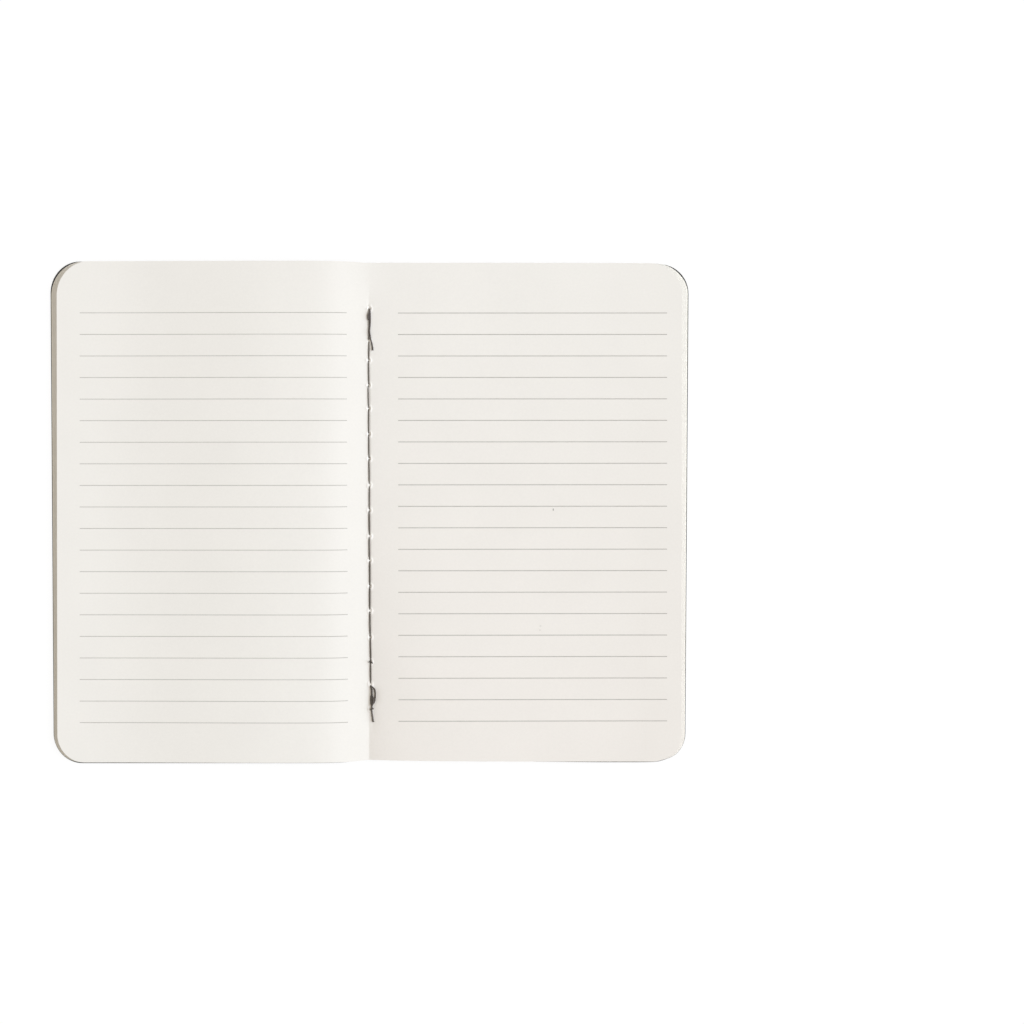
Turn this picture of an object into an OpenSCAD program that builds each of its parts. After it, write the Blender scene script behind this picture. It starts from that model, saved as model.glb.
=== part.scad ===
// Pocket notebook of one thread-sewn section, lying open at its centre spread.
// Millimetres. X runs across the spread, Y from tail to head, Z up from the table.
// The origin is on the table, under the middle of the fold.

/* [Page] */
// Width of the cover from the fold to its trimmed edge, at the head
cover_w = 89.7; // [75:0.1:120]
// Height of a page from tail to head
page_h = 139.8; // [120:0.1:180]
// Radius of a page's outer corner at the head
head_corner_r = 9.1; // [4:0.1:12]
// Radius of a page's outer corner at the tail
tail_corner_r = 8.2; // [4:0.1:12]
// How much narrower the notebook was trimmed at the tail than at the head
trim_lean = 1; // [0:0.1:1.5]

/* [Leaves] */
// Leaves on each side of the fold
leaf_count = 16; // [8:1:20]
// Thickness of one leaf
leaf_t = 0.095; // [0.08:0.005:0.12]
// How much each leaf stands back from the leaf below it, at the head
head_creep = 0.115; // [0.04:0.005:0.14]
// How much each leaf stands back from the leaf below it, at the tail
tail_creep = 0.075; // [0.04:0.005:0.14]
// Width of the strip at the fore edge where the leaves lie flat
flat_edge_w = 11; // [9.5:0.5:16]

/* [Cover] */
// Thickness of the cover card
cover_t = 0.35; // [0.25:0.05:0.5]
// How much smaller the radius of the cover's corners is than the pages'
corner_less = 0.3; // [0:0.1:1]
// How far the cover shows past the lowest leaf at the fore edge
peek_side = 0.15; // [0.05:0.05:0.5]
// How far the cover shows past the leaves at its outer tail corner
peek_tail = 0.7; // [0:0.1:1]
// How much the cover's tail edge drops from the fold to that corner
cover_skew = 1; // [0:0.1:1.5]
// How far the leaves reach past the cover at the head
head_inset = 0.1; // [0:0.05:0.3]
// Height of the channel that the cover's fold leaves under the spine
spine_lift = 0.45; // [0.42:0.01:0.6]
// Distance from the fold at which the cover comes down flat
spine_lift_w = 3; // [2:0.5:6]

/* [Opening] */
// Depth of the gutter, from the right page's crest down to the fold
gutter_depth = 0.3; // [0.2:0.05:0.6]
// Distance from the fold to the right page's crest
right_crest_x = 22; // [16:1:30]
// How much higher the left page's crest stands than the right one's
left_rise = 0.95; // [0.5:0.05:1.1]
// Distance from the fold to the left page's crest
left_crest_x = 24; // [18:1:30]
// How steeply the paper turns down into the fold
gutter_power = 2.2; // [2:0.1:4]

/* [Sewing] */
// Thickness of the sewing thread
thread_d = 0.42; // [0.3:0.01:0.42]
// Even distance between two needle holes
stitch_pitch = 7.03; // [6:0.01:7.4]
// Needle holes along the fold
hole_count = 17; // [12:1:17]
// Distance from the head edge to the first needle hole
first_hole = 12.85; // [10:0.05:16]
// Diameter of a needle hole
hole_d = 0.8; // [0.7:0.05:1]
// How far the inside thread dips into each needle hole
stitch_dip = 0.25; // [0.1:0.05:0.3]

/* [Clearances] */
// Gap between the two halves at the fold
fold_gap = 0.3; // [0.2:0.05:0.4]
// Gap under the inside thread, where it spans the fold
thread_clear = 0.1; // [0.08:0.01:0.14]

/* [Hidden] */
card = [0.17, 0.165, 0.16];
paper = [0.94, 0.92, 0.89];
thread_grey = [0.32, 0.30, 0.28];

block_t = leaf_count * leaf_t;
edge_z = cover_t + block_t;
lowest_leaf_w = cover_w - peek_side;
top_leaf_w = lowest_leaf_w - (leaf_count - 1) * max(head_creep, tail_creep);
flat_x = top_leaf_w - trim_lean - flat_edge_w;

// The leaves reach furthest at the head and the cover at the tail, and the two
// together are centred on the origin.
head_y = (page_h + peek_tail) / 2;
cover_tail_y = -head_y;
page_tail_y = head_y - page_h;

// Heights at the fold, from the table up. Sewing pulls the leaves a little tighter there.
fold_squeeze = 0.05;
fold_base_z = spine_lift + cover_t;
fold_top_z = fold_base_z + block_t * (1 - fold_squeeze);
right_crest_z = fold_top_z + gutter_depth;
left_crest_z = right_crest_z + left_rise;

arc_steps = 10;
lift_steps = 6;
rise_steps = 9;
fall_steps = 9;
thread_sides = 8;

// Points of an arc about [cx, cy], from angle a0 to angle a1
function arc(cx, cy, r, a0, a1) =
    [for (i = [0:arc_steps]) let (a = a0 + (a1 - a0) * i / arc_steps)
        [cx + r * cos(a), cy + r * sin(a)]];

// One half seen from above: straight at the fold, rounded at its two outer corners.
// wh and wt are its widths at the head and the tail, and skew lifts its tail edge
// at the fold. less is taken off both corner radii.
function half_outline(wh, wt, head, tail, less = 0, skew = 0) =
    let (rh = head_corner_r - less, rt = tail_corner_r - less)
    concat(
        [[0, tail + skew]],
        arc(wt - rt, tail + rt, rt, -90, 0),
        arc(wh - rh, head - rh, rh, 0, 90),
        [[0, head]]);

// Underside of the cover at x: flat on the table, lifted to a channel at the fold
function under_z(x) =
    x >= spine_lift_w ? 0 : spine_lift * (1 + cos(180 * x / spine_lift_w)) / 2;

function lift_xs() = [for (i = [0:lift_steps]) fold_gap / 2
    + (spine_lift_w - fold_gap / 2) * i / lift_steps];

// Cover in side view, as a strip of even thickness
function cover_side() =
    concat(
        [for (x = lift_xs()) [x, under_z(x)]],
        [[cover_w, 0], [cover_w, cover_t]],
        [for (i = [lift_steps:-1:0]) let (x = lift_xs()[i]) [x, under_z(x) + cover_t]]);

// Top of a page at x: out of the gutter, over a crest, and down to the flat edge
function page_top(x, crest_x, crest_z) =
    x < crest_x ? crest_z - (crest_z - fold_top_z) * pow(1 - x / crest_x, gutter_power)
    : x < flat_x ? edge_z + (crest_z - edge_z)
        * (1 + cos(180 * (x - crest_x) / (flat_x - crest_x))) / 2
    : edge_z;

// Steps out of the gutter are short at the fold and grow towards the crest
function top_xs(crest_x) =
    concat(
        [for (i = [0:rise_steps - 1]) fold_gap / 2
            + (crest_x - fold_gap / 2) * pow(i / rise_steps, 1.7)],
        [for (i = [0:fall_steps]) crest_x + (flat_x - crest_x) * i / fall_steps]);

function pages_side(crest_x, crest_z) =
    concat(
        [for (x = lift_xs()) [x, under_z(x) + cover_t]],
        [[cover_w, cover_t], [cover_w, edge_z]],
        [let (xs = top_xs(crest_x)) for (i = [len(xs) - 1:-1:0])
            [xs[i], page_top(xs[i], crest_x, crest_z)]]);

// A side view in X and Z, drawn out along the fold past both ends
module along_fold(side) {
    rotate([90, 0, 0])
        linear_extrude(2 * head_y + 2, center = true)
            polygon(side);
}

module needle_holes() {
    for (i = [0:hole_count - 1])
        translate([hole_x(i), hole_y(i), -1])
            cylinder(d = hole_d, h = left_crest_z + 2, $fn = 24);
}

// Half of the folded card
module cover_half() {
    intersection() {
        along_fold(cover_side());
        translate([0, 0, -1])
            linear_extrude(left_crest_z + 2)
                polygon(half_outline(cover_w, cover_w - trim_lean, head_y - head_inset,
                    cover_tail_y, corner_less, cover_skew));
    }
}

// The leaves of one half. Each leaf has its own outline, a step further out
// than the leaf above it, and the arch of the top leaf is cut across them all.
module leaf_stack(crest_x, crest_z) {
    intersection() {
        along_fold(pages_side(crest_x, crest_z));
        for (k = [0:leaf_count - 1])
            translate([0, 0, cover_t + k * leaf_t])
                linear_extrude(k < leaf_count - 1 ? leaf_t : crest_z)
                    polygon(half_outline(lowest_leaf_w - k * head_creep,
                        lowest_leaf_w - trim_lean - k * tail_creep, head_y, page_tail_y));
    }
}

// Cuts the needle holes out of one half. Each half keeps a part of every hole's rim.
module punched() {
    difference() {
        children();
        needle_holes();
    }
}

module back_cover() {
    color(card) punched() cover_half();
}

module right_pages() {
    color(paper) punched() leaf_stack(right_crest_x, right_crest_z);
}

module front_cover() {
    color(card) punched() mirror([1, 0, 0]) cover_half();
}

module left_pages() {
    color(paper) punched() mirror([1, 0, 0]) leaf_stack(left_crest_x, left_crest_z);
}

// How far towards the tail each hole was punched from its even place
hole_slip = [0, 0.4, 0.4, 0.35, -0.1, 0.05, -0.1, 0.3, 0.3, 0.55, 0.35, 0.5, 0.35, 0.8, 0.65,
    0, -0.15];
function hole_y(i) = head_y - first_hole - i * stitch_pitch - hole_slip[i];

// Heights of the two threads' centre lines, one in the gutter and one under the spine
thread_r = thread_d / 2;
inside_z = fold_top_z + thread_clear + thread_r;
outside_z = thread_r + 0.01;

// The stitching runs a little out of true, from left of the fold to right of it,
// and its first hole is back near the fold
sew_lean = 0.4;
sew_side = 0.04;
first_hole_side = 0.36;
function hole_x(i) = sew_side - sew_lean * hole_y(i) / (page_h / 2)
    + (i == 0 ? first_hole_side : 0);

// A side of a tube's ring at point p, where the tube runs along t
function ring(p, t, r) =
    let (side = cross(t, [0, 0, 1]) / norm(cross(t, [0, 0, 1])), up = cross(side, t))
    [for (i = [0:thread_sides - 1]) let (a = 360 * i / thread_sides)
        p + r * (cos(a) * side + sin(a) * up)];

function run_dir(path, i) =
    let (d = path[min(i + 1, len(path) - 1)] - path[max(i - 1, 0)]) d / norm(d);

// A thread along a path. Its ends are drawn in by the share end_taper.
module thread(path, r, end_taper = 0.6) {
    n = len(path);
    rings = [for (i = [0:n - 1])
        ring(path[i], run_dir(path, i), i == 0 || i == n - 1 ? r * end_taper : r)];
    points = [for (one = rings) for (p = one) p];
    sides = [for (i = [0:n - 2]) for (j = [0:thread_sides - 1])
        let (a = i * thread_sides + j,
             b = i * thread_sides + (j + 1) % thread_sides)
        [a, b, b + thread_sides, a + thread_sides]];
    first_cap = [for (j = [thread_sides - 1:-1:0]) j];
    last_cap = [for (j = [0:thread_sides - 1]) (n - 1) * thread_sides + j];
    polyhedron(points, concat([first_cap], sides, [last_cap]), convexity = 4);
}

// Shares of the way from one hole to the next at which the thread has a ring
stitch_rings = [0, 0.03, 0.075, 0.5, 0.925, 0.97];
function dips(s) = s == 0 ? 1 : s == 0.03 || s == 0.97 ? 0.5 : 0;

// Stitches from hole a to hole b, straight between the holes and dipped at each one
function stitches(a, b, z, dip) =
    concat(
        [for (i = [a:b - 1]) for (s = stitch_rings)
            [hole_x(i) + s * (hole_x(i + 1) - hole_x(i)),
             hole_y(i) + s * (hole_y(i + 1) - hole_y(i)), z - dip * dips(s)]],
        [[hole_x(b), hole_y(b), z - dip]]);

// Loose ends of the inside thread, as [x, y, height over the thread's own line].
// Points are counted from the hole that each end starts at.
back_stitch = [[-0.02, -0.1, -0.1], [-0.14, -0.6, 0.12], [-0.24, -1.6, 0.22],
    [-0.34, -3.2, 0.26], [-0.32, -5.2, 0.24], [-0.4, -7, 0.2], [-0.32, -8.9, 0.18]];
cut_tail = [[0.06, -0.2, -0.05], [0.2, -1.4, 0.14], [0.24, -2.7, 0.14], [0.18, -4.9, 0.16],
    [0.02, -6.9, 0.26], [0.14, -8.3, 0.34], [0.39, -9.4, 0.32], [0.65, -10.7, 0.24],
    [0.87, -11.7, 0.2]];
loop_near = [[0, 0.2, -0.1], [0.06, -0.5, 0.02], [0.16, -1.6, 0.06], [0.22, -2.9, 0.08],
    [0.24, -4.3, 0.08], [0.28, -5.5, 0.1], [0.34, -6.4, 0.16]];
loop_far = [[0.1, 0.1, -0.05], [0.36, -0.5, 0.08], [0.82, -0.95, 0.1], [1.3, -1.6, 0.1],
    [1.56, -2.6, 0.1], [1.56, -3.6, 0.1], [1.36, -4.5, 0.1], [0.98, -5.4, 0.12],
    [0.6, -6, 0.16], [0.42, -6.6, 0.2]];
end_tail = [[0.36, -6.7, 0.2], [0.34, -7.5, 0.16], [0.44, -8.4, 0.1], [0.58, -9.4, 0.08],
    [0.7, -10.4, 0.08]];
knot = [0.34, -6.85, 0.22];
knot_d = 0.95;
loop_hole = hole_count - 2;

function from_hole(i, p) = [hole_x(i) + p[0], hole_y(i) + p[1], inside_z + p[2]];
function loose_end(i, points) = [for (p = points) from_hole(i, p)];

module inside_thread() {
    color(thread_grey) {
        thread(stitches(0, loop_hole, inside_z, stitch_dip), thread_r);
        thread(loose_end(0, back_stitch), thread_r);
        thread(loose_end(0, cut_tail), thread_r);
        thread(loose_end(loop_hole, loop_near), thread_r);
        thread(loose_end(loop_hole, loop_far), thread_r);
        thread(loose_end(loop_hole, end_tail), thread_r);
        translate(from_hole(loop_hole, knot))
            sphere(d = knot_d, $fn = 20);
    }
}

// The needle's thread lies in the channel under the spine. At each hole a leg of it
// comes up through the leaves to the inside thread.
module outside_thread() {
    leg_top = inside_z - stitch_dip - thread_r - 0.02;
    color(thread_grey) {
        thread(stitches(0, hole_count - 1, outside_z, 0), thread_r);
        for (i = [0:hole_count - 1])
            translate([hole_x(i), hole_y(i), outside_z])
                cylinder(d = thread_d * 0.9, h = leg_top - outside_z, $fn = 16);
    }
}

back_cover();
right_pages();
front_cover();
left_pages();
inside_thread();
outside_thread();
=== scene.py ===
from math import cos, exp, pi, radians, sin

import bmesh
import bpy
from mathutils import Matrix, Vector


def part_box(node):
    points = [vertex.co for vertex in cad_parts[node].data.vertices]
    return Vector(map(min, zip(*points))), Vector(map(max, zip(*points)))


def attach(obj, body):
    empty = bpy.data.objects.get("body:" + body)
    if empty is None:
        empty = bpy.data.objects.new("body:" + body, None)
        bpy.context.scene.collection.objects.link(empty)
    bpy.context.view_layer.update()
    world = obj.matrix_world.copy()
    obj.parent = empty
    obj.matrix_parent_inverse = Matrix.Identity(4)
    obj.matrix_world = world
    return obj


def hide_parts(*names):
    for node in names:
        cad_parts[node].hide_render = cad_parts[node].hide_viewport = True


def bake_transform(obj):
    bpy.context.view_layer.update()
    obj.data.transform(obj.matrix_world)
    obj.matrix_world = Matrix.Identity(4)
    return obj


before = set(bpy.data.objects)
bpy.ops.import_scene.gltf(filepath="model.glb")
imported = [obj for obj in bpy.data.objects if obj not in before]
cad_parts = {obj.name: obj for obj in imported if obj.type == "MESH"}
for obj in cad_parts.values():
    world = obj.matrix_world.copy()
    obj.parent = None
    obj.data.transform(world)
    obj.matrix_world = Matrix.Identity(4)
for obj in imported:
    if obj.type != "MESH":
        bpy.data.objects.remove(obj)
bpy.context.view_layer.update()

MM = 0.001

# The notebook is seen from straight above, with its fold a little left of the middle
# of the picture, so that the right page fills the middle. One millimetre of page is
# 3.564 pixels wide, and the camera is 0.9 m above it.
PICTURE_SIDE = 1024
PIXELS_PER_MM = 3.564
FOLD_PIXEL = 369.2
CAMERA_HEIGHT = 900 * MM
PAGE_LEVEL = 2.4 * MM
PICTURE_MIDDLE_Y = 0.32 * MM
SENSOR_W = 36

lens_data = bpy.data.cameras.new("camera")
lens_data.sensor_width = SENSOR_W
lens_data.lens = SENSOR_W * CAMERA_HEIGHT / (PICTURE_SIDE / PIXELS_PER_MM * MM)
camera = bpy.data.objects.new("camera", lens_data)
camera.location = (
    (PICTURE_SIDE / 2 - FOLD_PIXEL) / PIXELS_PER_MM * MM,
    PICTURE_MIDDLE_Y,
    CAMERA_HEIGHT + PAGE_LEVEL,
)
bpy.context.collection.objects.link(camera)
bpy.context.scene.camera = camera

# Soft studio light: a warm, pale room all round, and a wide, far and slightly cool lamp
# low on the right. It leaves the right side of the gutter a shade darker than the left,
# and on flat paper the two add up to a neutral white.
ROOM_STRENGTH = 0.524
ROOM_COLOR = (1.08, 1, 0.885)
LAMP_STRENGTH = 3.375
LAMP_COLOR = (0.91, 1, 1.13)
LAMP_ELEVATION = radians(27)
LAMP_WIDTH = radians(60)

world = bpy.data.worlds.new("pale_room")
bpy.context.scene.world = world
world.use_nodes = True
room = world.node_tree
room.nodes["Background"].inputs["Color"].default_value = (*ROOM_COLOR, 1)
room.nodes["Background"].inputs["Strength"].default_value = ROOM_STRENGTH
seen_room = room.nodes.new("ShaderNodeBackground")
seen_room.inputs["Color"].default_value = (1, 1, 1, 1)
rays = room.nodes.new("ShaderNodeLightPath")
mix_room = room.nodes.new("ShaderNodeMixShader")
room.links.new(rays.outputs["Is Camera Ray"], mix_room.inputs["Fac"])
room.links.new(room.nodes["Background"].outputs[0], mix_room.inputs[1])
room.links.new(seen_room.outputs[0], mix_room.inputs[2])
room.links.new(mix_room.outputs[0], room.nodes["World Output"].inputs["Surface"])

lamp_data = bpy.data.lights.new("wide_lamp", "SUN")
lamp_data.angle = LAMP_WIDTH
lamp_data.energy = LAMP_STRENGTH
lamp_data.color = LAMP_COLOR
lamp = bpy.data.objects.new("wide_lamp", lamp_data)
to_lamp = Vector((cos(LAMP_ELEVATION), 0, sin(LAMP_ELEVATION)))
lamp.rotation_euler = to_lamp.to_track_quat("Z", "Y").to_euler()
bpy.context.collection.objects.link(lamp)

bpy.context.scene.view_settings.view_transform = "Standard"

# The table is a plain white top, a hair below the card. To the camera it shows as white
# with the notebook's faint shadow, which is the part of it that is shaded.
TABLE_SIDE = 6
TABLE_LEVEL = -0.05 * MM
SHADED_SHARE = 0.12
GLOW_SHARE = 0.9

bpy.ops.object.select_all(action="DESELECT")
bpy.ops.mesh.primitive_plane_add(size=TABLE_SIDE, location=(0, 0, TABLE_LEVEL))
table = bpy.context.object
table.name = "table"
white = bpy.data.materials.new("table_white")
white.use_nodes = True
nodes, links = white.node_tree.nodes, white.node_tree.links
nodes["Principled BSDF"].inputs["Base Color"].default_value = (0.85, 0.85, 0.85, 1)
nodes["Principled BSDF"].inputs["Roughness"].default_value = 0.9
shaded = nodes.new("ShaderNodeBsdfDiffuse")
shaded.inputs["Color"].default_value = (SHADED_SHARE, SHADED_SHARE, SHADED_SHARE, 1)
glow = nodes.new("ShaderNodeEmission")
glow.inputs["Strength"].default_value = GLOW_SHARE
lit = nodes.new("ShaderNodeAddShader")
rays = nodes.new("ShaderNodeLightPath")
pick = nodes.new("ShaderNodeMixShader")
links.new(shaded.outputs[0], lit.inputs[0])
links.new(glow.outputs[0], lit.inputs[1])
links.new(rays.outputs["Is Camera Ray"], pick.inputs["Fac"])
links.new(nodes["Principled BSDF"].outputs[0], pick.inputs[1])
links.new(lit.outputs[0], pick.inputs[2])
links.new(pick.outputs[0], nodes["Material Output"].inputs["Surface"])
table.data.materials.append(white)

# The cover is one folded piece of dyed card, 0.35 mm thick, punched round at its four
# corners. It lies flat, apart from a low channel that its fold leaves under the spine.
# Its tail edge was cut a little out of square, so it shows most past the pages there.
card_low, card_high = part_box("back_cover")
CARD_T = 0.35 * MM
CARD_HEAD_R = 8.3 * MM
CARD_TAIL_R = 8.15 * MM
CHANNEL_W = 3 * MM
CHANNEL_H = card_high.z - CARD_T
TRIM_LEAN = 0.9 * MM
FOLD_ZONE = 1.6 * MM
FOLD_STEPS = 14
CORNER_STEPS = 16
STRAIGHT_Y = 60 * MM
CARD_HEAD_Y = 70 * MM
CARD_TAIL_Y = -69.28 * MM
WORN_X = 84.4 * MM
WORN_DEPTH = 0.333 * MM
WORN_REACH = 2.5 * MM
CUT_EDGE_ANGLE = radians(35)

# Distances from the fold at which a sheet has a column of its own: close together
# where it bends when the notebook is shut, then wider apart
fold_columns = [i * FOLD_ZONE / FOLD_STEPS for i in range(FOLD_STEPS + 1)]
page_columns = [d * MM for d in (2, 2.5, 3.2, 4, 5, 6.3, 8, 10, 12.5, 15.5, 19, 23, 27.5,
                                 32, 37, 42.5, 48, 54, 60, 66, 72, 76, 78, 79.5, 80.7, 82, 84,
                                 86)]


def under_card(x):
    """Height of the card's underside at x."""
    if abs(x) >= CHANNEL_W:
        return 0.0
    return CHANNEL_H * (1 + cos(pi * x / CHANNEL_W)) / 2


def punched_sheet(name, head_w, tail_w, head_r, tail_r, head_edge, tail_edge, rows):
    """A flat sheet across the fold, with round corners, scored into columns and rows.
    Its fore edges lean in from head_w to tail_w, and head_edge and tail_edge give the
    place of its two other edges at x. They shape it beyond STRAIGHT_Y."""
    head, tail = head_edge(head_w), tail_edge(head_w)
    bpy.ops.object.select_all(action="DESELECT")
    bpy.ops.mesh.primitive_plane_add(size=1, location=(0, (head + tail) / 2, 0))
    sheet = bpy.context.object
    sheet.name = name
    bpy.ops.object.mode_set(mode="EDIT")
    bpy.ops.mesh.select_mode(type="VERT")
    bpy.ops.mesh.select_all(action="SELECT")
    bpy.ops.transform.resize(value=(2 * head_w, head - tail, 1), center_override=sheet.location)
    for side, r in ((1, head_r), (-1, tail_r)):
        mesh = bmesh.from_edit_mesh(sheet.data)
        for v in mesh.verts:
            v.select = v.co.y * side > (head - tail) / 4
        mesh.select_flush_mode()
        bmesh.update_edit_mesh(sheet.data)
        bpy.ops.mesh.bevel(offset=r, segments=CORNER_STEPS, affect="VERTICES")
    for x in fold_columns + page_columns:
        for side in {x, -x}:
            bpy.ops.mesh.select_all(action="SELECT")
            bpy.ops.mesh.bisect(plane_co=(side, 0, 0), plane_no=(1, 0, 0), threshold=1e-8)
    for y in rows:
        bpy.ops.mesh.select_all(action="SELECT")
        bpy.ops.mesh.bisect(plane_co=(0, y, 0), plane_no=(0, 1, 0), threshold=1e-8)
    bpy.ops.object.mode_set(mode="OBJECT")
    bpy.ops.object.transform_apply(location=True, rotation=True, scale=True)
    for v in sheet.data.vertices:
        x, y = v.co.x, v.co.y
        v.co.x *= 1 + (tail_w / head_w - 1) * (head - y) / (head - tail)
        out = max(0.0, (abs(y) - STRAIGHT_Y) / (head - STRAIGHT_Y))
        v.co.y += out * (head_edge(x) - head if y > 0 else tail_edge(x) - tail)
    return sheet


def thicken(sheet, thickness, offset):
    """Gives a bent sheet its thickness and smooths it, with its cut edges kept crisp."""
    bpy.ops.object.select_all(action="DESELECT")
    sheet.select_set(True)
    bpy.context.view_layer.objects.active = sheet
    solid = sheet.modifiers.new("thickness", "SOLIDIFY")
    solid.thickness = thickness
    solid.offset = offset
    bpy.ops.object.modifier_apply(modifier="thickness")
    bpy.ops.object.shade_smooth_by_angle(angle=CUT_EDGE_ANGLE)


def along(low_y, high_y, step):
    """Row places from the tail to the head, about step apart."""
    n = round((high_y - low_y) / step)
    return [low_y + (high_y - low_y) * i / n for i in range(1, n)]


def flare(x, start, reach, power=1.0):
    """How far out of line the left half's edges run at x, from 0 at the fold to 1."""
    return 1 - exp(-(max(0.0, -x - start) / reach) ** power)


def worn(x):
    """How far the tail edges were cut short beside the round corner."""
    return WORN_DEPTH * exp(-((x - WORN_X) / WORN_REACH) ** 2)


def card_head(x):
    """The head edge, straight on the right half and flared a little on the left."""
    return CARD_HEAD_Y + 0.75 * MM * flare(x, 1 * MM, 4.2 * MM)


def card_tail(x):
    """The tail edge, out of square on the right half up to its worn corner."""
    if x > 0:
        skew = 0.755 * MM * min(x / (65 * MM), 1) ** 0.7
        pulled_in = 0.03 * MM * min(max((x - 77.1 * MM) / (3 * MM), 0), 1)
        return CARD_TAIL_Y - skew + 1.2 * worn(x) + pulled_in
    return CARD_TAIL_Y - 1.02 * MM * flare(x, 0, 5.6 * MM, 1.5)


cover = punched_sheet(
    "cover_card", card_high.x + 0.05 * MM, card_high.x - TRIM_LEAN - 0.03 * MM, CARD_HEAD_R,
    CARD_TAIL_R, card_head, card_tail, along(card_low.y, card_high.y, 10 * MM))
for v in cover.data.vertices:
    v.co.z = under_card(v.co.x)
thicken(cover, CARD_T, 1)

card = bpy.data.materials.new("dyed_card")
card.use_nodes = True
nodes, links = card.node_tree.nodes, card.node_tree.links
skin = nodes["Principled BSDF"]
skin.inputs["Roughness"].default_value = 0.72
place = nodes.new("ShaderNodeTexCoord")
fibres = nodes.new("ShaderNodeTexNoise")
fibres.inputs["Scale"].default_value = 900
fibres.inputs["Detail"].default_value = 5
clouds = nodes.new("ShaderNodeTexNoise")
clouds.inputs["Scale"].default_value = 45
tone = nodes.new("ShaderNodeMix")
tone.data_type = "RGBA"
tone.inputs["A"].default_value = (0.030, 0.029, 0.028, 1)
tone.inputs["B"].default_value = (0.058, 0.056, 0.053, 1)
both = nodes.new("ShaderNodeMath")
both.operation = "MULTIPLY"
relief = nodes.new("ShaderNodeBump")
relief.inputs["Strength"].default_value = 0.4
relief.inputs["Distance"].default_value = 0.00006
for texture in (fibres, clouds):
    links.new(place.outputs["Object"], texture.inputs["Vector"])
links.new(fibres.outputs["Fac"], both.inputs[0])
links.new(clouds.outputs["Fac"], both.inputs[1])
links.new(both.outputs[0], tone.inputs["Factor"])
links.new(tone.outputs["Result"], skin.inputs["Base Color"])
links.new(fibres.outputs["Fac"], relief.inputs["Height"])
links.new(relief.outputs["Normal"], skin.inputs["Normal"])
cover.data.materials.append(card)

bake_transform(cover)
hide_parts("front_cover", "back_cover")

# The leaves are sixteen sheets of writing paper, folded once, laid one inside another,
# sewn down at the fold and trimmed shut, so open each stands back from the one below it.
# The left page rises straight out of the fold, and the right page only towards the tail.
right_low, right_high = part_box("right_pages")
left_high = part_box("left_pages")[1]
LEAVES = 16
LEAF_PITCH = 0.095 * MM
LEAF_T = 0.078 * MM
HEAD_CREEP = 0.115 * MM
TAIL_CREEP = 0.07 * MM
LEAF_W = right_high.x - 0.03 * MM
LEAF_HEAD_R = 9.1 * MM
LEAF_TAIL_R = 7.65 * MM
FOLD_TOP = 2.244 * MM
EDGE_TOP = CARD_T + LEAVES * LEAF_PITCH
FLAT_X = 75.4 * MM
RIGHT_FALL = 9 * MM
LEFT_STRAIGHT = 8.5 * MM
LEFT_CREST_X = 24 * MM
LEFT_RISE = left_high.z - FOLD_TOP
LEFT_SLOPE_SHARE = 0.69
RIGHT_RISE = 0.64 * MM
HEAD_RISE = 0.2 * MM
GROOVE_W = 0.28 * MM
GROOVE_DEPTH = 0.13 * MM
LOOP_HOLLOW = 0.28 * MM
END_HOLLOW = 0.1 * MM

# Needle holes, from the head down. None is quite at its even place. Some are closed up
# by the paper, so that the thread goes out of sight in them, and the rim of most stands
# a little higher on its right. Slips, rims and dips are in millimetres.
FIRST_HOLE = 12.85 * MM
STITCH = 7.03 * MM
SEW_LEAN = 0.4 / 70
SEW_SIDE = 0.04 * MM
FIRST_HOLE_SIDE = 0.36 * MM
HOLE_SLIP = (0, 2.05, 0.4, 0.35, -0.1, 0.05, -0.1, 0.3, 0.3, 0.55, 0.35, 0.5, 0.35, 0.8,
             0.65, 0, -0.15)
HOLE_OPEN = (1, 0.5, 0.6, 1, 1, 1, 1, 0, 0.5, 0, 0.3, 0.6, 0, 0.7, 1, 0.1, 1)
HOLE_LEAN = (0, 0.1) + (0.035,) * 13 + (0.015, -0.04)
RIM_R = 0.62
RIM_W = 0.24
RIM_H = 0.1
DIP = 0.3
DIP_R = 0.3
CLOSED_BULGE = 0.16
CREASE_H = 0.03
holes = []
for i, slip in enumerate(HOLE_SLIP):
    y = right_high.y - FIRST_HOLE - i * STITCH - slip * MM
    x = SEW_SIDE - SEW_LEAN * y + (FIRST_HOLE_SIDE if i == 0 else 0)
    holes.append(Vector((x, y, 0)))


def smooth(t):
    """An even ease from 0 to 1."""
    t = min(max(t, 0.0), 1.0)
    return t * t * (3 - 2 * t)


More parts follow.
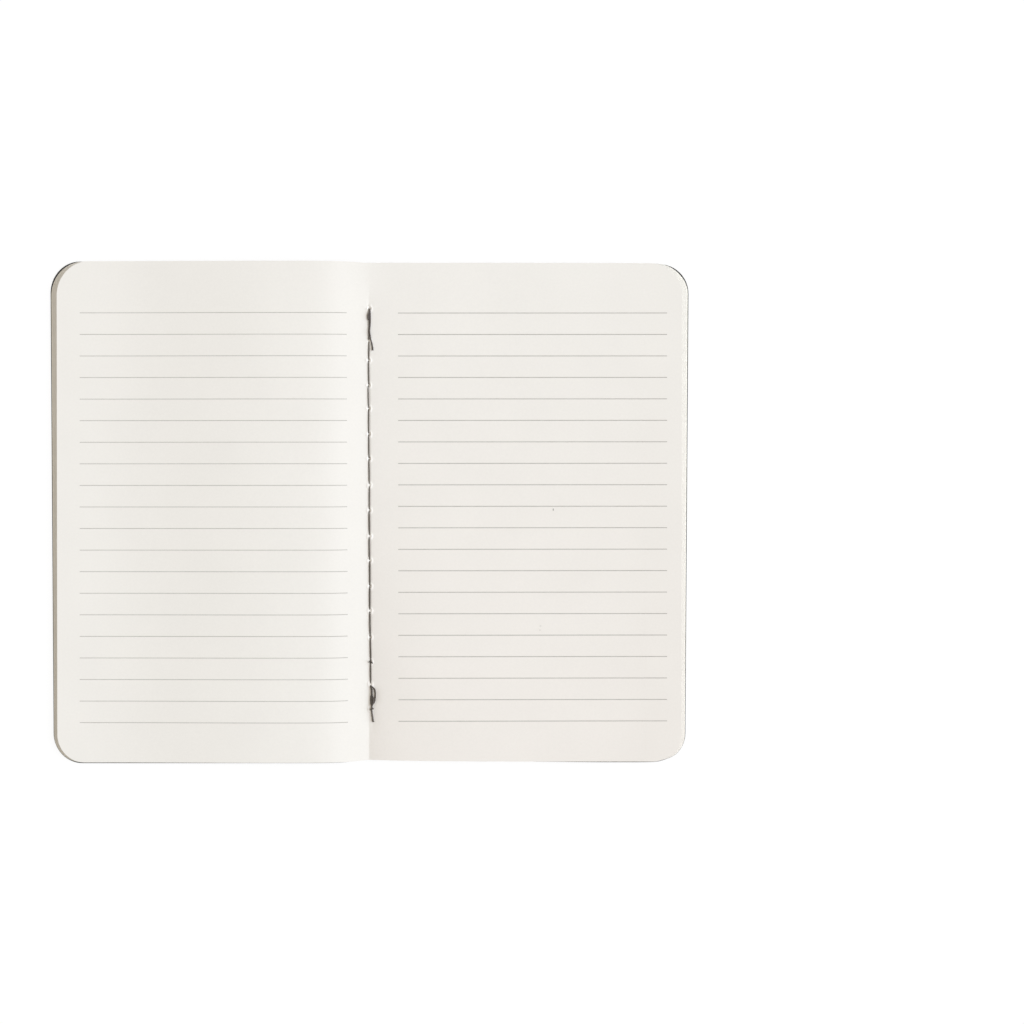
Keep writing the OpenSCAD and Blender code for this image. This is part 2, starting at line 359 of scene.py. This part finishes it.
def page_top(x, y):
    """Height of the top page at x, y. Each side rises from the fold, then falls evenly
    to the flat strip at its fore edge."""
    d = abs(x)
    eased = HEAD_RISE * smooth((y - 55 * MM) / (12 * MM)) * exp(-d / (3 * MM))
    if x < 0:
        straight = min(d, LEFT_STRAIGHT)
        bend = min(max(d - LEFT_STRAIGHT, 0.0) / (LEFT_CREST_X - LEFT_STRAIGHT), 1)
        slope = LEFT_SLOPE_SHARE * straight / LEFT_STRAIGHT
        rise = LEFT_RISE * (slope + (1 - LEFT_SLOPE_SHARE) * (1 - (1 - bend) ** 4))
        fall = smooth((d - LEFT_CREST_X) / (FLAT_X - LEFT_CREST_X))
    else:
        lift = RIGHT_RISE * smooth((17.7 * MM - y) / (78.6 * MM))
        rise = lift * (1 - exp(-d / (8 * MM))) + 0.09 * MM * (1 - exp(-d / (3 * MM)))
        share = min(max((d - RIGHT_FALL) / (FLAT_X - RIGHT_FALL), 0.0), 1.0)
        fall = 0.65 * share + 0.35 * smooth(share)
    # The drawn thread presses a groove into the fold
    aside = (x - 0.06 * MM + SEW_LEAN * y) / GROOVE_W
    sewn = smooth((y + 50 * MM) / (3 * MM)) * smooth((60 * MM - y) / (3 * MM))
    groove = GROOVE_DEPTH * exp(-aside ** 2) * sewn
    # and its loop and end near the tail a wider hollow into the right page
    past_loop = smooth((-51.8 * MM - y) / (2.2 * MM))
    middle = (1.5 - 0.6 * past_loop) * MM
    hollow = LOOP_HOLLOW + (END_HOLLOW - LOOP_HOLLOW) * past_loop
    hollow *= exp(-((x - middle) / MM) ** 2)
    hollow *= smooth((-48 * MM - y) / (3 * MM)) * smooth((y + 60 * MM) / (3 * MM))
    hollow *= smooth((x - middle) / (0.5 * MM) + 1)
    return (FOLD_TOP + rise + eased - groove - hollow) * (1 - fall) + EDGE_TOP * fall


def stack_height(x, y, share):
    """Height of a leaf at x, y, where share is 0 at the cover and 1 at the top page."""
    base = under_card(x) + CARD_T
    return base + (page_top(x, y) - base) * share


def pucker(x, y):
    """Paper drawn down into each open needle hole, inside the raised rim the needle
    left. A closed hole bulges, and a low crease runs out from each to both sides."""
    z = 0.0
    for hole, gape, lean in zip(holes, HOLE_OPEN, HOLE_LEAN):
        dx, dy = (x - hole.x) / MM, (y - hole.y) / MM
        if abs(dy) < 3 and abs(dx) < 3:
            r = (dx ** 2 + (dy / 1.2) ** 2) ** 0.5
            rim = RIM_H + lean * dx / max(r, 0.1)
            z += rim * exp(-((r - RIM_R) / RIM_W) ** 2) - DIP * gape * exp(-(r / DIP_R) ** 2)
            z += CLOSED_BULGE * (1 - gape) * exp(-(r / 0.4) ** 2)
            off, out = (dy - 0.35 * abs(dx)) / 0.4, (abs(dx) - 1.3) / 0.7
            z += CREASE_H * exp(-off ** 2 - out ** 2)
    return z * MM


def page_head(x):
    """The leaves' head edge."""
    right = right_high.y - 0.08 * MM * (max(0.0, x - 45 * MM) / (35 * MM)) ** 2
    return right + 0.5 * MM * flare(x, 1.5 * MM, 4.2 * MM)


def page_tail(x):
    """The leaves' tail edge, with the same worn corner as the card's."""
    if x > 0:
        return -69.19 * MM - 0.58 * MM * (1 - exp(-x / (20 * MM))) + worn(x)
    return -69.21 * MM - 0.8 * MM * flare(x, 0, 5.2 * MM, 1.25)


def paper(name, cream, mottle):
    """Uncoated writing paper: cream is its tint, mottle how uneven its tone is."""
    made = bpy.data.materials.new(name)
    made.use_nodes = True
    nodes, links = made.node_tree.nodes, made.node_tree.links
    skin = nodes["Principled BSDF"]
    skin.inputs["Roughness"].default_value = 0.9
    skin.inputs["Specular IOR Level"].default_value = 0.25
    place = nodes.new("ShaderNodeTexCoord")
    clouds = nodes.new("ShaderNodeTexNoise")
    clouds.inputs["Scale"].default_value = 60
    clouds.inputs["Detail"].default_value = 4
    fibres = nodes.new("ShaderNodeTexNoise")
    fibres.inputs["Scale"].default_value = 1600
    fibres.inputs["Detail"].default_value = 3
    for texture in (clouds, fibres):
        links.new(place.outputs["Object"], texture.inputs["Vector"])
    both = nodes.new("ShaderNodeMath")
    both.operation = "ADD"
    links.new(clouds.outputs["Fac"], both.inputs[0])
    links.new(fibres.outputs["Fac"], both.inputs[1])
    levels = nodes.new("ShaderNodeMapRange")
    levels.inputs["From Min"].default_value = 0.6
    levels.inputs["From Max"].default_value = 1.4
    links.new(both.outputs[0], levels.inputs["Value"])
    tone = nodes.new("ShaderNodeMix")
    tone.data_type = "RGBA"
    tone.inputs["A"].default_value = (*[c * (1 - mottle) for c in cream], 1)
    tone.inputs["B"].default_value = (*[c * (1 + mottle) for c in cream], 1)
    links.new(levels.outputs["Result"], tone.inputs["Factor"])
    # The right page is painted darker and warmer towards its tail: painted shade, for the light
    # that falls more on the head, with a little yellowing
    split = nodes.new("ShaderNodeSeparateXYZ")
    links.new(place.outputs["Object"], split.inputs[0])
    down = nodes.new("ShaderNodeMapRange")
    down.inputs["From Min"].default_value = 0.07
    down.inputs["From Max"].default_value = -0.07
    links.new(split.outputs["Y"], down.inputs["Value"])
    across = nodes.new("ShaderNodeMapRange")
    across.inputs["From Min"].default_value = -0.001
    across.inputs["From Max"].default_value = 0.001
    links.new(split.outputs["X"], across.inputs["Value"])
    share = nodes.new("ShaderNodeMath")
    share.operation = "MULTIPLY"
    links.new(down.outputs["Result"], share.inputs[0])
    links.new(across.outputs["Result"], share.inputs[1])
    tail_shade_and_yellowing = nodes.new("ShaderNodeMix")
    tail_shade_and_yellowing.data_type = "RGBA"
    tail_shade_and_yellowing.blend_type = "MULTIPLY"
    tail_shade_and_yellowing.inputs["B"].default_value = (0.978, 0.960, 0.955, 1)
    links.new(share.outputs[0], tail_shade_and_yellowing.inputs["Factor"])
    links.new(tone.outputs["Result"], tail_shade_and_yellowing.inputs["A"])
    links.new(tail_shade_and_yellowing.outputs["Result"], skin.inputs["Base Color"])
    tooth = nodes.new("ShaderNodeBump")
    tooth.inputs["Strength"].default_value = 0.25
    tooth.inputs["Distance"].default_value = 0.00002
    links.new(fibres.outputs["Fac"], tooth.inputs["Height"])
    links.new(tooth.outputs["Normal"], skin.inputs["Normal"])
    return made


MOTTLE = 0.02
page_paper = paper("page_paper", (0.863, 0.838, 0.792), MOTTLE)
# The leaves under the top page get a darker copy of the paper: painted shade where their edges
# lie stacked under one another. The three lowest, which stand out furthest, keep about the
# page's tone, a little creamier.
edge_paper = paper("leaf_edge_paper", (0.8, 0.776, 0.724), MOTTLE)
outer_edge_paper = paper("outer_leaf_edge_paper", (0.87, 0.846, 0.78), MOTTLE)
OUTER_LEAVES = 3


def leaf(name, k, rows):
    """The sheet that is k above the lowest one, still flat. Its right fore edge stands
    a little proud just below the head corner."""
    sheet = punched_sheet(
        name, LEAF_W - k * HEAD_CREEP, LEAF_W - TRIM_LEAN - k * TAIL_CREEP,
        LEAF_HEAD_R, LEAF_TAIL_R, page_head, page_tail, rows)
    for v in sheet.data.vertices:
        if v.co.x > 80 * MM:
            v.co.x += 0.15 * MM * exp(-((v.co.y - 64 * MM) / (2.4 * MM)) ** 2)
    return sheet


# The innermost sheet is the open spread itself, with rows close together at the holes
around_hole = [d * MM for d in (-2.4, -1.7, -1.3, -1.05, -0.85, -0.65, -0.45, -0.3, -0.15, 0,
                                0.15, 0.3, 0.45, 0.65, 0.85, 1.05, 1.3, 1.7, 2.4)]
spread_rows = [hole.y + d for hole in holes for d in around_hole]
spread_rows += [right_high.y - d * MM for d in (3, 5, 7, 9)]
spread_rows += [right_low.y + d * MM for d in (3, 5, 7, 9)]
spread = leaf("centre_spread", LEAVES - 1, spread_rows)
for v in spread.data.vertices:
    v.co.z = stack_height(v.co.x, v.co.y, 1) + pucker(v.co.x, v.co.y)
thicken(spread, LEAF_T, -1)
spread.data.materials.append(page_paper)
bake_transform(spread)
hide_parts("right_pages", "left_pages")

# The fifteen sheets under it show only their edges, each a little out of line
lower_sheets = []
for k in range(LEAVES - 1):
    sheet = leaf(f"sheet_{k}", k, along(right_low.y, right_high.y, 14 * MM))
    for v in sheet.data.vertices:
        v.co.z = stack_height(v.co.x, v.co.y, (k + 0.9) / LEAVES)
        v.co.z += 0.006 * MM * sin(v.co.y / (17 * MM) + 1.7 * k)
    thicken(sheet, LEAF_T, -1)
    # Painted shade: all but the three lowest leaves take the darker edge paper
    sheet.data.materials.append(outer_edge_paper if k < OUTER_LEAVES else edge_paper)
    lower_sheets.append(sheet)
bpy.ops.object.select_all(action="DESELECT")
for sheet in lower_sheets:
    sheet.select_set(True)
bpy.context.view_layer.objects.active = lower_sheets[0]
bpy.ops.object.join()
lower = bpy.context.object
lower.name = "lower_sheets"
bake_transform(lower)
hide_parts("right_pages", "left_pages")

# The ruling is printed in pale grey ink: twenty lines a page, 6 mm apart, which stop
# short of the gutter and of the fore edge. The left page's lines are a touch wider set.
RULES = 20
RULE_PITCH = 6.0275 * MM
RIGHT_RULE_W = 0.2 * MM
LEFT_RULE_W = 0.15 * MM
FIRST_RULE_Y = 56.14 * MM
INK_LIFT = 0.015 * MM


def ruled_page(name, ends, drift, rule_w, ink):
    """One page's lines, as flat strips that follow the paper. ends gives the two ends
    of a line from its height on the page, and drift how far it strays at x, y."""
    strips = []
    for k in range(RULES):
        y = FIRST_RULE_Y - k * RULE_PITCH
        from_x, to_x = ends(y)
        bpy.ops.object.select_all(action="DESELECT")
        bpy.ops.mesh.primitive_plane_add(size=1, location=((from_x + to_x) / 2, y, 0))
        strip = bpy.context.object
        bpy.ops.object.mode_set(mode="EDIT")
        bpy.ops.mesh.select_all(action="SELECT")
        bpy.ops.transform.resize(
            value=(to_x - from_x, rule_w, 1), center_override=strip.location)
        bpy.ops.object.mode_set(mode="OBJECT")
        bpy.ops.object.transform_apply(location=True, rotation=True, scale=True)
        bpy.ops.object.mode_set(mode="EDIT")
        for x in page_columns:
            bpy.ops.mesh.select_all(action="SELECT")
            bpy.ops.mesh.bisect(
                plane_co=(x if to_x > 0 else -x, 0, 0), plane_no=(1, 0, 0), threshold=1e-8)
        bpy.ops.object.mode_set(mode="OBJECT")
        for v in strip.data.vertices:
            v.co.y += drift(v.co.x, v.co.y)
            v.co.z = page_top(v.co.x, v.co.y) + INK_LIFT
        strips.append(strip)
    bpy.ops.object.select_all(action="DESELECT")
    for strip in strips:
        strip.select_set(True)
    bpy.context.view_layer.objects.active = strips[0]
    bpy.ops.object.join()
    ruling = bpy.context.object
    ruling.name = name
    ruling.data.materials.append(ink)
    return ruling


def right_ends(y):
    """The ends of the right page's line at y."""
    return 8.15 * MM - 0.0015 * y, 83.6 * MM


def right_drift(x, y):
    """The right page was fed a hair out of square."""
    return 0.0007 * x


def left_ends(y):
    """The ends of the left page's line at y. The inner ends lean a little, as the
    sewing does."""
    return -81.3 * MM, -6.12 * MM - 0.0035 * y


def left_drift(x, y):
    """The left page's lines spread from one near its head, away from the fold."""
    return (y - 37.4 * MM) * 0.0046 * (1 - exp(-(x / (6.5 * MM)) ** 2))


ink = bpy.data.materials.new("pale_ink")
ink.use_nodes = True
nodes, links = ink.node_tree.nodes, ink.node_tree.links
skin = nodes["Principled BSDF"]
skin.inputs["Roughness"].default_value = 0.85
place = nodes.new("ShaderNodeTexCoord")
press = nodes.new("ShaderNodeTexNoise")
press.inputs["Scale"].default_value = 700
tone = nodes.new("ShaderNodeMix")
tone.data_type = "RGBA"
tone.inputs["A"].default_value = (0.37, 0.35, 0.322, 1)
tone.inputs["B"].default_value = (0.51, 0.488, 0.45, 1)
links.new(place.outputs["Object"], press.inputs["Vector"])
links.new(press.outputs["Fac"], tone.inputs["Factor"])
links.new(tone.outputs["Result"], skin.inputs["Base Color"])

right_ruling = ruled_page("right_ruling", right_ends, right_drift, RIGHT_RULE_W, ink)
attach(right_ruling, "back_half")
left_ruling = ruled_page("left_ruling", left_ends, left_drift, LEFT_RULE_W, ink)
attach(left_ruling, "front_half")

# Flecks of dark pulp show in the right page: one just under a line, and further down two
# paler ones that lie deeper in the paper.
deep_pulp = paper("deep_pulp", (0.765, 0.742, 0.7), MOTTLE)
flecks = []
# Each fleck's place and half its width and height, in millimetres
for x, y, half_w, half_h, pulp in ((51.65, 0.99, 0.19, 0.34, ink),
                                   (48.04, -31.67, 0.3, 0.24, deep_pulp),
                                   (47.9, -32.83, 0.22, 0.22, deep_pulp)):
    bpy.ops.object.select_all(action="DESELECT")
    bpy.ops.mesh.primitive_circle_add(
        vertices=12, radius=1, fill_type="NGON", location=(0, 0, 0))
    fleck = bpy.context.object
    bpy.ops.object.mode_set(mode="EDIT")
    bpy.ops.mesh.select_all(action="SELECT")
    bpy.ops.transform.resize(value=(half_w * MM, half_h * MM, 1), center_override=(0, 0, 0))
    bpy.ops.transform.translate(value=(x * MM, y * MM, page_top(x * MM, y * MM) + INK_LIFT))
    bpy.ops.object.mode_set(mode="OBJECT")
    fleck.data.materials.append(pulp)
    flecks.append(fleck)
bpy.ops.object.select_all(action="DESELECT")
for fleck in flecks:
    fleck.select_set(True)
bpy.context.view_layer.objects.active = flecks[0]
bpy.ops.object.join()
pulp_flecks = bpy.context.object
pulp_flecks.name = "pulp_flecks"
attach(pulp_flecks, "back_half")

# The inside thread is three plies of grey twist. It lies in the fold and dips into each
# needle hole. It starts with a doubled stitch and a cut tail, and ends in a loop and a
# knot. Where it hangs loose, it swells a little.
PLY_R = 0.094 * MM
PLY_OUT = 0.092 * MM
TWIST = 1.05 * MM
RING_STEP = 0.1 * MM
THREAD_LEVEL = FOLD_TOP + 0.06 * MM
LOOP_HOLE = 15
PLIES = 3
LOOSE = 1.16
FRAY = 0.9
TO_SIDE = 1 / 14


def smooth_route(points):
    """Points of a smooth curve through the route's points, a ring step apart."""
    route = []
    n = len(points)
    for i in range(n - 1):
        p0, p1 = points[max(i - 1, 0)], points[i]
        p2, p3 = points[i + 1], points[min(i + 2, n - 1)]
        steps = max(1, round((p2 - p1).length / RING_STEP))
        for s in range(steps):
            t = s / steps
            route.append(0.5 * (2 * p1 + (p2 - p0) * t + (2 * p0 - 5 * p1 + 4 * p2 - p3) * t ** 2
                                + (3 * p1 - p0 - 3 * p2 + p3) * t ** 3))
    route.append(points[-1])
    return route


def twisted(name, routes):
    """A twisted thread along each route, all as one mesh. With each route come its
    girth and the length of fraying at its cut end, where the plies part."""
    strands = []
    for route, girth, frayed in routes:
        line = smooth_route(route)
        lengths = [0.0]
        for i in range(1, len(line)):
            lengths.append(lengths[-1] + (line[i] - line[i - 1]).length)
        for ply in range(PLIES):
            data = bpy.data.curves.new(name, "CURVE")
            data.dimensions = "3D"
            data.bevel_depth = PLY_R * girth
            data.bevel_resolution = 1
            data.use_fill_caps = True
            strand = data.splines.new("POLY")
            strand.points.add(len(line) - 1)
            for i, p in enumerate(line):
                ahead = line[min(i + 1, len(line) - 1)] - line[max(i - 1, 0)]
                side = ahead.cross(Vector((0, 0, 1))).normalized()
                up = side.cross(ahead).normalized()
                turn = 2 * pi * (lengths[i] / TWIST + ply / PLIES)
                out = PLY_OUT * girth
                if frayed:
                    left_over = lengths[-1] - lengths[i]
                    out *= 1 + FRAY * max(0.0, 1 - left_over / frayed)
                place = p + out * (cos(turn) * side + sin(turn) * up)
                strand.points[i].co = (*place, 1)
            piece = bpy.data.objects.new(name, data)
            bpy.context.collection.objects.link(piece)
            strands.append(piece)
    bpy.ops.object.select_all(action="DESELECT")
    for piece in strands:
        piece.select_set(True)
    bpy.context.view_layer.objects.active = strands[0]
    bpy.ops.object.convert(target="MESH")
    bpy.ops.object.join()
    bpy.ops.object.shade_smooth()
    thread = bpy.context.object
    thread.name = name
    return thread


def stitched(first, last, level, dips, sides):
    """Route from one hole to another, dipped at each. sides gives where each stitch
    starts and ends, sideways from the fold. It is over there from TO_SIDE of a stitch
    past the hole."""
    route = []
    for i in range(first, last):
        start, end = sides[i]
        for share, depth in dips:
            y = holes[i].y + share * (holes[i + 1].y - holes[i].y)
            into = min(1, share / TO_SIDE, (1 - share) / TO_SIDE)
            hole_x = holes[i].x if share < 0.5 else holes[i + 1].x
            x = into * (start + share * (end - start)) * MM + (1 - into) * hole_x
            route.append(Vector((x, y, level - depth)))
    route.append(holes[last] + Vector((0, 0, level - dips[0][1])))
    return route


def loose_end(hole, points):
    """Route of a loose end, from millimetres counted from its hole."""
    start = holes[hole] + Vector((0, 0, THREAD_LEVEL))
    return [start + Vector(p) * MM for p in points]


# Where each stitch starts and ends, sideways from the fold, and the routes of the loose
# parts, all in millimetres
stitch_sides = [(0.05, -0.05), (-0.02, -0.16), (-0.25, -0.1), (-0.32, -0.18), (-0.15, -0.16),
                (-0.15, -0.05), (-0.09, 0.05), (0.07, 0.02), (-0.04, 0.09), (-0.02, 0.07),
                (0.15, 0.19), (0.15, 0.16), (0.15, 0.29), (0.29, 0.47), (0.34, 0.45)]
back_stitch = [(-0.02, -0.05, -0.1), (-0.06, -0.4, 0.06), (-0.1, -1.24, 0.12),
               (-0.09, -2.2, 0.14), (-0.075, -3.2, 0.14), (-0.09, -4.9, 0.13),
               (-0.16, -5.9, 0.12), (-0.17, -6.9, 0.12), (-0.15, -7.6, 0.12),
               (-0.15, -8.3, 0.1), (-0.14, -8.7, 0.02)]
start_lump = [(-0.05, -0.6, 0.12), (-0.15, -1.05, 0.2), (-0.3, -1.6, 0.24),
              (-0.44, -2.25, 0.24), (-0.38, -2.85, 0.22), (-0.22, -3.2, 0.16)]
cut_tail = [(0.04, -0.05, -0.06), (0.08, -0.4, 0.1), (0.2, -1.3, 0.16), (0.22, -3.2, 0.18),
            (0.18, -4.6, 0.2), (0.04, -5.9, 0.26), (0.07, -6.8, 0.3), (0.21, -7.5, 0.26),
            (0.29, -8.1, 0.2), (0.41, -8.8, 0.17), (0.56, -9.4, 0.15), (0.71, -10, 0.14),
            (0.82, -10.6, 0.14), (0.88, -11.2, 0.14), (0.9, -11.7, 0.14)]
small_knot = [(-0.3, -0.1, 0.1), (-0.14, 0, 0.3), (0.14, 0.05, 0.44), (0.42, -0.15, 0.36),
              (0.68, -0.45, 0.16)]
loop_near = [(0.08, -0.42, -0.1), (0.14, -0.8, 0.12), (0.3, -1.5, 0.18), (0.34, -2.6, 0.18),
             (0.28, -3.9, 0.18), (0.2, -4.8, 0.2), (0.15, -5.35, 0.22), (0.38, -5.85, 0.22),
             (0.44, -6.4, 0.22)]
loop_middle = [(0.12, -0.5, 0.08), (0.4, -1.1, 0.2), (0.5, -1.9, 0.22), (0.52, -2.9, 0.22),
               (0.74, -3.8, 0.26), (0.82, -4.5, 0.28), (0.6, -5.2, 0.26), (0.48, -5.8, 0.24)]
loop_filling = [(0.2, -3.2, 0.12), (0.14, -4, 0.14), (0.16, -4.8, 0.16), (0.5, -5.2, 0.16),
                (0.95, -4.4, 0.16), (1.1, -3.8, 0.14), (1.16, -4.4, 0.18), (0.86, -5.1, 0.2),
                (0.56, -4.7, 0.22), (0.56, -4, 0.2), (0.84, -4.1, 0.34), (0.7, -5.3, 0.34)]
loop_far = [(0.1, -0.3, -0.05), (0.42, -0.66, 0.18), (0.82, -0.95, 0.2), (1.22, -1.45, 0.16),
            (1.38, -2.3, 0.14), (1.4, -3.1, 0.14), (1.35, -4.2, 0.14), (1.08, -5.0, 0.18),
            (0.68, -5.6, 0.22), (0.5, -6.05, 0.24), (0.46, -6.5, 0.24)]
end_tail = [(0.46, -6.5, 0.24), (0.42, -7.4, 0.24), (0.54, -8.4, 0.18), (0.68, -9.4, 0.16),
            (0.82, -10.5, 0.16)]
knot_turns = [(0.4 + 0.13 * cos(a), -6.84 - 0.04 * a / pi, 0.26 + 0.13 * sin(a))
              for a in [k * pi / 4 for k in range(21)]]
knot_ears = [(0.08, -7.1, 0.14), (0.22, -7.02, 0.3), (0.42, -6.94, 0.42),
             (0.66, -6.86, 0.3), (0.84, -6.74, 0.16)]

twist = bpy.data.materials.new("grey_twist")
twist.use_nodes = True
nodes, links = twist.node_tree.nodes, twist.node_tree.links
skin = nodes["Principled BSDF"]
skin.inputs["Roughness"].default_value = 0.75
skin.inputs["Sheen Weight"].default_value = 0.2
place = nodes.new("ShaderNodeTexCoord")
fibres = nodes.new("ShaderNodeTexNoise")
fibres.inputs["Scale"].default_value = 6000
fibres.inputs["Detail"].default_value = 3
tone = nodes.new("ShaderNodeMix")
tone.data_type = "RGBA"
tone.inputs["A"].default_value = (0.058, 0.048, 0.039, 1)
tone.inputs["B"].default_value = (0.121, 0.101, 0.083, 1)
relief = nodes.new("ShaderNodeBump")
relief.inputs["Distance"].default_value = 0.00003
links.new(place.outputs["Object"], fibres.inputs["Vector"])
links.new(fibres.outputs["Fac"], tone.inputs["Factor"])
# Its first end, at the head, is painted lighter and bluer
split = nodes.new("ShaderNodeSeparateXYZ")
links.new(place.outputs["Object"], split.inputs[0])
headward = nodes.new("ShaderNodeMapRange")
headward.inputs["From Min"].default_value = 0.046
headward.inputs["From Max"].default_value = 0.054
links.new(split.outputs["Y"], headward.inputs["Value"])
lighter_head_end = nodes.new("ShaderNodeMix")
lighter_head_end.data_type = "RGBA"
lighter_head_end.blend_type = "MULTIPLY"
lighter_head_end.inputs["B"].default_value = (1.3, 1.34, 1.5, 1)
links.new(headward.outputs["Result"], lighter_head_end.inputs["Factor"])
links.new(tone.outputs["Result"], lighter_head_end.inputs["A"])
links.new(lighter_head_end.outputs["Result"], skin.inputs["Base Color"])
links.new(fibres.outputs["Fac"], relief.inputs["Height"])
links.new(relief.outputs["Normal"], skin.inputs["Normal"])

inside_dips = [(0, 0.5 * MM), (0.03, 0.32 * MM), (0.07, 0.06 * MM), (0.12, 0),
               (0.5, -0.05 * MM), (0.88, 0), (0.93, 0.06 * MM), (0.97, 0.32 * MM)]
gutter_thread = twisted("gutter_thread", [
    (stitched(1, 8, THREAD_LEVEL, inside_dips, stitch_sides), 0.84, 0),
    (stitched(8, LOOP_HOLE, THREAD_LEVEL, inside_dips, stitch_sides), 1.04, 0),
    (loose_end(0, back_stitch), 1, 0.3 * MM),
    (loose_end(0, start_lump), 1, 0.3 * MM),
    (loose_end(0, cut_tail), 1.1, 1 * MM),
    (loose_end(LOOP_HOLE - 1, small_knot), 1, 0),
    (loose_end(LOOP_HOLE, loop_near), LOOSE, 0),
    (loose_end(LOOP_HOLE, loop_middle), LOOSE, 0),
    (loose_end(LOOP_HOLE, loop_filling), LOOSE, 0),
    (loose_end(LOOP_HOLE, loop_far), LOOSE, 0),
    (loose_end(LOOP_HOLE, end_tail), LOOSE, 0.8 * MM),
    (loose_end(LOOP_HOLE, knot_turns), LOOSE, 0),
    (loose_end(LOOP_HOLE, knot_ears), LOOSE, 0.3 * MM),
])
gutter_thread.data.materials.append(twist)
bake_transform(gutter_thread)
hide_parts("inside_thread")

# The outside thread is the same twist. It runs in the channel under the spine, and at
# each hole it turns up through the card and the leaves to hold the inside thread.
SPINE_LEVEL = 0.24 * MM
outside_dips = [(0, -1.6 * MM), (0.015, -1.2 * MM), (0.03, -0.3 * MM), (0.06, -0.05 * MM),
                (0.1, 0), (0.5, 0), (0.9, 0), (0.94, -0.05 * MM), (0.97, -0.3 * MM),
                (0.985, -1.2 * MM)]
spine_sides = [(hole.x / MM, below.x / MM) for hole, below in zip(holes, holes[1:])]
spine_route = stitched(0, len(holes) - 1, SPINE_LEVEL, outside_dips, spine_sides)
spine_thread = twisted("spine_thread", [(spine_route, 1, 0)])
spine_thread.data.materials.append(twist)
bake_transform(spine_thread)
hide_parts("outside_thread")
